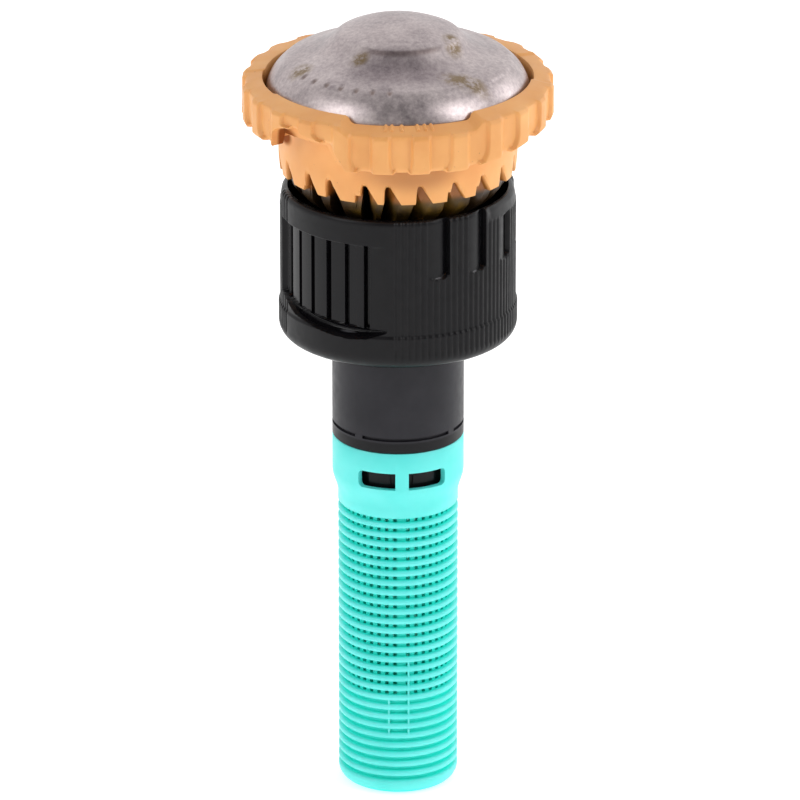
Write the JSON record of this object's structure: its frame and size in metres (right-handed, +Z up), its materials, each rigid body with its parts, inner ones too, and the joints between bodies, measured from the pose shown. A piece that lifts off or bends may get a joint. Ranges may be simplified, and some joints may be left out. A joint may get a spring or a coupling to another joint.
{
  "type": "rotary sprinkler nozzle",
  "caption": "Rotary stream nozzle with metal cap, ribbed deflector ring, turning arc collar, threaded base and long strainer, for the riser of a pop-up sprinkler.",
  "frame": {"origin": "centre of the flat bottom of the filter, on the nozzle's axis", "axes": "+Z up the nozzle's axis to the cap; -Y is the front, where the lower stretch of the band's rim is"},
  "size_m": [0.0312, 0.0312, 0.0817],
  "materials": {
    "cap_steel": "tumbled, satin, slightly stained",
    "deflector_plastic": "moulded, satin",
    "collar_plastic": "moulded, satin",
    "base_plastic": "moulded",
    "neck_plastic": "moulded, satin",
    "filter_plastic": "moulded, slightly translucent",
    "inner_plastic": "natural acetal",
    "steel": "bright stainless",
    "pad_rubber": "silicone",
    "seal_rubber": "moulded"
  },
  "bodies": {
    "base": {"nozzle_base": "base_plastic", "riser_gasket": "seal_rubber", "inlet_tube": "neck_plastic", "throttle_seat": "base_plastic", "filter_screen": "filter_plastic", "nozzle_cover": "base_plastic", "sleeve_o_ring": "seal_rubber", "compression_spring": "steel"},
    "arc_collar": {"arc_collar": "collar_plastic", "valve_sleeve": "base_plastic"},
    "lift_carriage": {"spring_seat_washer": "steel"},
    "shaft": {"shaft": "steel", "friction_disk": "inner_plastic", "upper_shaft_clip": "steel", "lower_shaft_clip": "steel"},
    "throttle_nut": {"throttle_nut": "inner_plastic"},
    "deflector": {"deflector": "deflector_plastic", "top_cap": "cap_steel", "cavity_lid": "inner_plastic", "bearing_washer": "inner_plastic", "brake_pad": "pad_rubber", "seal_retainer": "inner_plastic", "lip_seal": "seal_rubber"}
  },
  "joints": [
    {"name": "arc_set", "type": "hinge", "parent": "base", "child": "arc_collar", "pos_m": [0, 0, 0.055], "axis": [0, 0, 1], "range_deg": [-90, 135]},
    {"name": "flush_lift", "type": "slide", "parent": "base", "child": "lift_carriage", "axis": [0, 0, 1], "range_m": [0, 0.004], "stiffness_N_per_m": 300, "springref_m": -0.006, "deforming": ["compression_spring"]},
    {"name": "radius_set", "type": "hinge", "parent": "lift_carriage", "child": "shaft", "pos_m": [0, 0, 0.06], "axis": [0, 0, 1], "range_deg": [-324, 540]},
    {"name": "throttle_travel", "type": "slide", "parent": "lift_carriage", "child": "throttle_nut", "axis": [0, 0, 1], "range_m": [-0.00105, 0.00063]},
    {"name": "deflector_spin", "type": "hinge", "parent": "shaft", "child": "deflector", "pos_m": [0, 0, 0.07], "axis": [0, 0, 1], "continuous": true}
  ],
  "couplings": [
    {"joint": "radius_set", "follows": "throttle_travel", "rad_per_m": -8975}
  ]
}
